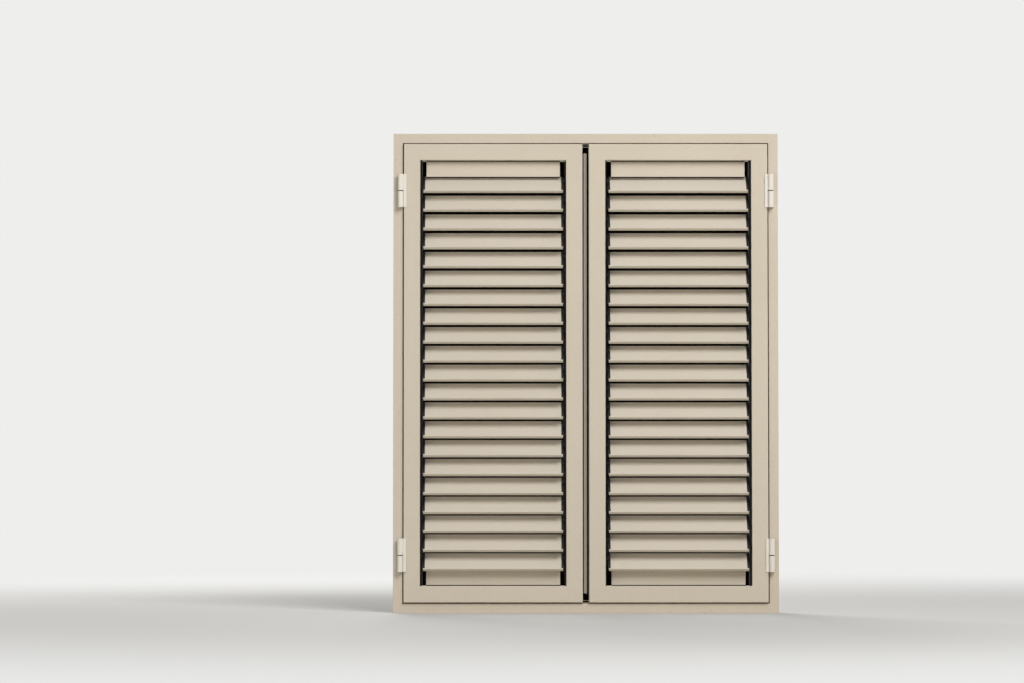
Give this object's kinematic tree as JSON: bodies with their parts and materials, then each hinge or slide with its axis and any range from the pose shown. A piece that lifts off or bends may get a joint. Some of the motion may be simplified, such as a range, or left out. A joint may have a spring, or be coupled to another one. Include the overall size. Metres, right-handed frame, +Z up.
{
  "type": "louvred window shutters",
  "caption": "Pair of outward-opening metal window shutters with adjustable louvre slats, hung on lift-off hinges in a slim mitred frame.",
  "frame": {"origin": "middle of the frame's underside, in the mid-plane of the closed leaves", "axes": "+X to the right seen from the street, +Y into the house, +Z up"},
  "size_m": [1.044, 0.075, 1.3],
  "materials": {
    "frame_paint": "satin powder coat",
    "leaf_paint": "satin powder coat",
    "slats": "satin powder coat",
    "hinges": "smooth white paint",
    "meeting_strip": "satin powder coat",
    "carriers": "matt black",
    "seal": "matt black rubber",
    "drive_bars": "black anodised",
    "cleats": "as cast"
  },
  "bodies": {
    "frame": {"frame_jambs": "frame_paint", "frame_head_and_sill": "frame_paint", "frame_corner_cleats": "cleats", "frame_hinge_halves": "hinges", "frame_seal": "seal"},
    "left_leaf": {"left_leaf_stiles": "leaf_paint", "left_leaf_rails_and_cleats": "leaf_paint", "left_leaf_hinge_halves": "hinges", "left_slat_carriers": "carriers", "left_closing_strips": "leaf_paint", "meeting_strip": "meeting_strip"},
    "left_slat_01": {"left_slat_01": "slats"},
    "left_slat_02": {"left_slat_02": "slats"},
    "left_slat_03": {"left_slat_03": "slats"},
    "left_slat_04": {"left_slat_04": "slats"},
    "left_slat_05": {"left_slat_05": "slats"},
    "left_slat_06": {"left_slat_06": "slats"},
    "left_slat_07": {"left_slat_07": "slats"},
    "left_slat_08": {"left_slat_08": "slats"},
    "left_slat_09": {"left_slat_09": "slats"},
    "left_slat_10": {"left_slat_10": "slats"},
    "left_slat_11": {"left_slat_11": "slats"},
    "left_slat_12": {"left_slat_12": "slats"},
    "left_slat_13": {"left_slat_13": "slats"},
    "left_slat_14": {"left_slat_14": "slats"},
    "left_slat_15": {"left_slat_15": "slats"},
    "left_slat_16": {"left_slat_16": "slats"},
    "left_slat_17": {"left_slat_17": "slats"},
    "left_slat_18": {"left_slat_18": "slats"},
    "left_slat_19": {"left_slat_19": "slats"},
    "left_slat_20": {"left_slat_20": "slats"},
    "left_slat_21": {"left_slat_21": "slats"},
    "left_drive_bar": {"left_drive_bar": "drive_bars"},
    "right_leaf": {"right_leaf_stiles": "leaf_paint", "right_leaf_rails_and_cleats": "leaf_paint", "right_leaf_hinge_halves": "hinges", "right_slat_carriers": "carriers", "right_closing_strips": "leaf_paint"},
    "right_slat_01": {"right_slat_01": "slats"},
    "right_slat_02": {"right_slat_02": "slats"},
    "right_slat_03": {"right_slat_03": "slats"},
    "right_slat_04": {"right_slat_04": "slats"},
    "right_slat_05": {"right_slat_05": "slats"},
    "right_slat_06": {"right_slat_06": "slats"},
    "right_slat_07": {"right_slat_07": "slats"},
    "right_slat_08": {"right_slat_08": "slats"},
    "right_slat_09": {"right_slat_09": "slats"},
    "right_slat_10": {"right_slat_10": "slats"},
    "right_slat_11": {"right_slat_11": "slats"},
    "right_slat_12": {"right_slat_12": "slats"},
    "right_slat_13": {"right_slat_13": "slats"},
    "right_slat_14": {"right_slat_14": "slats"},
    "right_slat_15": {"right_slat_15": "slats"},
    "right_slat_16": {"right_slat_16": "slats"},
    "right_slat_17": {"right_slat_17": "slats"},
    "right_slat_18": {"right_slat_18": "slats"},
    "right_slat_19": {"right_slat_19": "slats"},
    "right_slat_20": {"right_slat_20": "slats"},
    "right_slat_21": {"right_slat_21": "slats"},
    "right_drive_bar": {"right_drive_bar": "drive_bars"}
  },
  "joints": [
    {"name": "left_leaf_swing", "type": "hinge", "parent": "frame", "child": "left_leaf", "pos_m": [-0.5025, -0.0265, 0.65], "axis": [0, 0, -1], "range_deg": [0, 175]},
    {"name": "left_slat_01_tilt", "type": "hinge", "parent": "left_leaf", "child": "left_slat_01", "pos_m": [-0.25112, 0, 1.1706], "axis": [-1, 0, 0], "range_deg": [-33, 45]},
    {"name": "left_slat_02_tilt", "type": "hinge", "parent": "left_leaf", "child": "left_slat_02", "pos_m": [-0.25112, 0, 1.1194], "axis": [-1, 0, 0], "range_deg": [-33, 45]},
    {"name": "left_slat_03_tilt", "type": "hinge", "parent": "left_leaf", "child": "left_slat_03", "pos_m": [-0.25112, 0, 1.0682], "axis": [-1, 0, 0], "range_deg": [-33, 45]},
    {"name": "left_slat_04_tilt", "type": "hinge", "parent": "left_leaf", "child": "left_slat_04", "pos_m": [-0.25112, 0, 1.017], "axis": [-1, 0, 0], "range_deg": [-33, 45]},
    {"name": "left_slat_05_tilt", "type": "hinge", "parent": "left_leaf", "child": "left_slat_05", "pos_m": [-0.25112, 0, 0.9658], "axis": [-1, 0, 0], "range_deg": [-33, 45]},
    {"name": "left_slat_06_tilt", "type": "hinge", "parent": "left_leaf", "child": "left_slat_06", "pos_m": [-0.25112, 0, 0.9146], "axis": [-1, 0, 0], "range_deg": [-33, 45]},
    {"name": "left_slat_07_tilt", "type": "hinge", "parent": "left_leaf", "child": "left_slat_07", "pos_m": [-0.25112, 0, 0.8634], "axis": [-1, 0, 0], "range_deg": [-33, 45]},
    {"name": "left_slat_08_tilt", "type": "hinge", "parent": "left_leaf", "child": "left_slat_08", "pos_m": [-0.25112, 0, 0.8122], "axis": [-1, 0, 0], "range_deg": [-33, 45]},
    {"name": "left_slat_09_tilt", "type": "hinge", "parent": "left_leaf", "child": "left_slat_09", "pos_m": [-0.25112, 0, 0.761], "axis": [-1, 0, 0], "range_deg": [-33, 45]},
    {"name": "left_slat_10_tilt", "type": "hinge", "parent": "left_leaf", "child": "left_slat_10", "pos_m": [-0.25112, 0, 0.7098], "axis": [-1, 0, 0], "range_deg": [-33, 45]},
    {"name": "left_slat_11_tilt", "type": "hinge", "parent": "left_leaf", "child": "left_slat_11", "pos_m": [-0.25112, 0, 0.6586], "axis": [-1, 0, 0], "range_deg": [-33, 45]},
    {"name": "left_slat_12_tilt", "type": "hinge", "parent": "left_leaf", "child": "left_slat_12", "pos_m": [-0.25112, 0, 0.6074], "axis": [-1, 0, 0], "range_deg": [-33, 45]},
    {"name": "left_slat_13_tilt", "type": "hinge", "parent": "left_leaf", "child": "left_slat_13", "pos_m": [-0.25112, 0, 0.5562], "axis": [-1, 0, 0], "range_deg": [-33, 45]},
    {"name": "left_slat_14_tilt", "type": "hinge", "parent": "left_leaf", "child": "left_slat_14", "pos_m": [-0.25112, 0, 0.505], "axis": [-1, 0, 0], "range_deg": [-33, 45]},
    {"name": "left_slat_15_tilt", "type": "hinge", "parent": "left_leaf", "child": "left_slat_15", "pos_m": [-0.25112, 0, 0.4538], "axis": [-1, 0, 0], "range_deg": [-33, 45]},
    {"name": "left_slat_16_tilt", "type": "hinge", "parent": "left_leaf", "child": "left_slat_16", "pos_m": [-0.25112, 0, 0.4026], "axis": [-1, 0, 0], "range_deg": [-33, 45]},
    {"name": "left_slat_17_tilt", "type": "hinge", "parent": "left_leaf", "child": "left_slat_17", "pos_m": [-0.25112, 0, 0.3514], "axis": [-1, 0, 0], "range_deg": [-33, 45]},
    {"name": "left_slat_18_tilt", "type": "hinge", "parent": "left_leaf", "child": "left_slat_18", "pos_m": [-0.25112, 0, 0.3002], "axis": [-1, 0, 0], "range_deg": [-33, 45]},
    {"name": "left_slat_19_tilt", "type": "hinge", "parent": "left_leaf", "child": "left_slat_19", "pos_m": [-0.25112, 0, 0.249], "axis": [-1, 0, 0], "range_deg": [-33, 45]},
    {"name": "left_slat_20_tilt", "type": "hinge", "parent": "left_leaf", "child": "left_slat_20", "pos_m": [-0.25112, 0, 0.1978], "axis": [-1, 0, 0], "range_deg": [-33, 45]},
    {"name": "left_slat_21_tilt", "type": "hinge", "parent": "left_leaf", "child": "left_slat_21", "pos_m": [-0.25112, 0, 0.1466], "axis": [-1, 0, 0], "range_deg": [-33, 45]},
    {"name": "left_drive_bar_swing", "type": "hinge", "parent": "left_slat_01", "child": "left_drive_bar", "pos_m": [-0.0578, 0.01392, 1.17206], "axis": [-1, 0, 0], "range_deg": [-45, 33]},
    {"name": "right_leaf_swing", "type": "hinge", "parent": "frame", "child": "right_leaf", "pos_m": [0.5025, -0.0265, 0.65], "axis": [0, 0, 1], "range_deg": [0, 175]},
    {"name": "right_slat_01_tilt", "type": "hinge", "parent": "right_leaf", "child": "right_slat_01", "pos_m": [0.25112, 0, 1.1706], "axis": [-1, 0, 0], "range_deg": [-33, 45]},
    {"name": "right_slat_02_tilt", "type": "hinge", "parent": "right_leaf", "child": "right_slat_02", "pos_m": [0.25112, 0, 1.1194], "axis": [-1, 0, 0], "range_deg": [-33, 45]},
    {"name": "right_slat_03_tilt", "type": "hinge", "parent": "right_leaf", "child": "right_slat_03", "pos_m": [0.25112, 0, 1.0682], "axis": [-1, 0, 0], "range_deg": [-33, 45]},
    {"name": "right_slat_04_tilt", "type": "hinge", "parent": "right_leaf", "child": "right_slat_04", "pos_m": [0.25112, 0, 1.017], "axis": [-1, 0, 0], "range_deg": [-33, 45]},
    {"name": "right_slat_05_tilt", "type": "hinge", "parent": "right_leaf", "child": "right_slat_05", "pos_m": [0.25112, 0, 0.9658], "axis": [-1, 0, 0], "range_deg": [-33, 45]},
    {"name": "right_slat_06_tilt", "type": "hinge", "parent": "right_leaf", "child": "right_slat_06", "pos_m": [0.25112, 0, 0.9146], "axis": [-1, 0, 0], "range_deg": [-33, 45]},
    {"name": "right_slat_07_tilt", "type": "hinge", "parent": "right_leaf", "child": "right_slat_07", "pos_m": [0.25112, 0, 0.8634], "axis": [-1, 0, 0], "range_deg": [-33, 45]},
    {"name": "right_slat_08_tilt", "type": "hinge", "parent": "right_leaf", "child": "right_slat_08", "pos_m": [0.25112, 0, 0.8122], "axis": [-1, 0, 0], "range_deg": [-33, 45]},
    {"name": "right_slat_09_tilt", "type": "hinge", "parent": "right_leaf", "child": "right_slat_09", "pos_m": [0.25112, 0, 0.761], "axis": [-1, 0, 0], "range_deg": [-33, 45]},
    {"name": "right_slat_10_tilt", "type": "hinge", "parent": "right_leaf", "child": "right_slat_10", "pos_m": [0.25112, 0, 0.7098], "axis": [-1, 0, 0], "range_deg": [-33, 45]},
    {"name": "right_slat_11_tilt", "type": "hinge", "parent": "right_leaf", "child": "right_slat_11", "pos_m": [0.25112, 0, 0.6586], "axis": [-1, 0, 0], "range_deg": [-33, 45]},
    {"name": "right_slat_12_tilt", "type": "hinge", "parent": "right_leaf", "child": "right_slat_12", "pos_m": [0.25112, 0, 0.6074], "axis": [-1, 0, 0], "range_deg": [-33, 45]},
    {"name": "right_slat_13_tilt", "type": "hinge", "parent": "right_leaf", "child": "right_slat_13", "pos_m": [0.25112, 0, 0.5562], "axis": [-1, 0, 0], "range_deg": [-33, 45]},
    {"name": "right_slat_14_tilt", "type": "hinge", "parent": "right_leaf", "child": "right_slat_14", "pos_m": [0.25112, 0, 0.505], "axis": [-1, 0, 0], "range_deg": [-33, 45]},
    {"name": "right_slat_15_tilt", "type": "hinge", "parent": "right_leaf", "child": "right_slat_15", "pos_m": [0.25112, 0, 0.4538], "axis": [-1, 0, 0], "range_deg": [-33, 45]},
    {"name": "right_slat_16_tilt", "type": "hinge", "parent": "right_leaf", "child": "right_slat_16", "pos_m": [0.25112, 0, 0.4026], "axis": [-1, 0, 0], "range_deg": [-33, 45]},
    {"name": "right_slat_17_tilt", "type": "hinge", "parent": "right_leaf", "child": "right_slat_17", "pos_m": [0.25112, 0, 0.3514], "axis": [-1, 0, 0], "range_deg": [-33, 45]},
    {"name": "right_slat_18_tilt", "type": "hinge", "parent": "right_leaf", "child": "right_slat_18", "pos_m": [0.25112, 0, 0.3002], "axis": [-1, 0, 0], "range_deg": [-33, 45]},
    {"name": "right_slat_19_tilt", "type": "hinge", "parent": "right_leaf", "child": "right_slat_19", "pos_m": [0.25112, 0, 0.249], "axis": [-1, 0, 0], "range_deg": [-33, 45]},
    {"name": "right_slat_20_tilt", "type": "hinge", "parent": "right_leaf", "child": "right_slat_20", "pos_m": [0.25112, 0, 0.1978], "axis": [-1, 0, 0], "range_deg": [-33, 45]},
    {"name": "right_slat_21_tilt", "type": "hinge", "parent": "right_leaf", "child": "right_slat_21", "pos_m": [0.25112, 0, 0.1466], "axis": [-1, 0, 0], "range_deg": [-33, 45]},
    {"name": "right_drive_bar_swing", "type": "hinge", "parent": "right_slat_01", "child": "right_drive_bar", "pos_m": [0.0578, 0.01392, 1.17206], "axis": [-1, 0, 0], "range_deg": [-45, 33]}
  ],
  "couplings": [
    {"joint": "left_slat_02_tilt", "follows": "left_slat_01_tilt", "ratio": 1},
    {"joint": "left_slat_03_tilt", "follows": "left_slat_01_tilt", "ratio": 1},
    {"joint": "left_slat_04_tilt", "follows": "left_slat_01_tilt", "ratio": 1},
    {"joint": "left_slat_05_tilt", "follows": "left_slat_01_tilt", "ratio": 1},
    {"joint": "left_slat_06_tilt", "follows": "left_slat_01_tilt", "ratio": 1},
    {"joint": "left_slat_07_tilt", "follows": "left_slat_01_tilt", "ratio": 1},
    {"joint": "left_slat_08_tilt", "follows": "left_slat_01_tilt", "ratio": 1},
    {"joint": "left_slat_09_tilt", "follows": "left_slat_01_tilt", "ratio": 1},
    {"joint": "left_slat_10_tilt", "follows": "left_slat_01_tilt", "ratio": 1},
    {"joint": "left_slat_11_tilt", "follows": "left_slat_01_tilt", "ratio": 1},
    {"joint": "left_slat_12_tilt", "follows": "left_slat_01_tilt", "ratio": 1},
    {"joint": "left_slat_13_tilt", "follows": "left_slat_01_tilt", "ratio": 1},
    {"joint": "left_slat_14_tilt", "follows": "left_slat_01_tilt", "ratio": 1},
    {"joint": "left_slat_15_tilt", "follows": "left_slat_01_tilt", "ratio": 1},
    {"joint": "left_slat_16_tilt", "follows": "left_slat_01_tilt", "ratio": 1},
    {"joint": "left_slat_17_tilt", "follows": "left_slat_01_tilt", "ratio": 1},
    {"joint": "left_slat_18_tilt", "follows": "left_slat_01_tilt", "ratio": 1},
    {"joint": "left_slat_19_tilt", "follows": "left_slat_01_tilt", "ratio": 1},
    {"joint": "left_slat_20_tilt", "follows": "left_slat_01_tilt", "ratio": 1},
    {"joint": "left_slat_21_tilt", "follows": "left_slat_01_tilt", "ratio": 1},
    {"joint": "left_drive_bar_swing", "follows": "left_slat_01_tilt", "ratio": -1},
    {"joint": "right_slat_02_tilt", "follows": "right_slat_01_tilt", "ratio": 1},
    {"joint": "right_slat_03_tilt", "follows": "right_slat_01_tilt", "ratio": 1},
    {"joint": "right_slat_04_tilt", "follows": "right_slat_01_tilt", "ratio": 1},
    {"joint": "right_slat_05_tilt", "follows": "right_slat_01_tilt", "ratio": 1},
    {"joint": "right_slat_06_tilt", "follows": "right_slat_01_tilt", "ratio": 1},
    {"joint": "right_slat_07_tilt", "follows": "right_slat_01_tilt", "ratio": 1},
    {"joint": "right_slat_08_tilt", "follows": "right_slat_01_tilt", "ratio": 1},
    {"joint": "right_slat_09_tilt", "follows": "right_slat_01_tilt", "ratio": 1},
    {"joint": "right_slat_10_tilt", "follows": "right_slat_01_tilt", "ratio": 1},
    {"joint": "right_slat_11_tilt", "follows": "right_slat_01_tilt", "ratio": 1},
    {"joint": "right_slat_12_tilt", "follows": "right_slat_01_tilt", "ratio": 1},
    {"joint": "right_slat_13_tilt", "follows": "right_slat_01_tilt", "ratio": 1},
    {"joint": "right_slat_14_tilt", "follows": "right_slat_01_tilt", "ratio": 1},
    {"joint": "right_slat_15_tilt", "follows": "right_slat_01_tilt", "ratio": 1},
    {"joint": "right_slat_16_tilt", "follows": "right_slat_01_tilt", "ratio": 1},
    {"joint": "right_slat_17_tilt", "follows": "right_slat_01_tilt", "ratio": 1},
    {"joint": "right_slat_18_tilt", "follows": "right_slat_01_tilt", "ratio": 1},
    {"joint": "right_slat_19_tilt", "follows": "right_slat_01_tilt", "ratio": 1},
    {"joint": "right_slat_20_tilt", "follows": "right_slat_01_tilt", "ratio": 1},
    {"joint": "right_slat_21_tilt", "follows": "right_slat_01_tilt", "ratio": 1},
    {"joint": "right_drive_bar_swing", "follows": "right_slat_01_tilt", "ratio": -1}
  ]
}
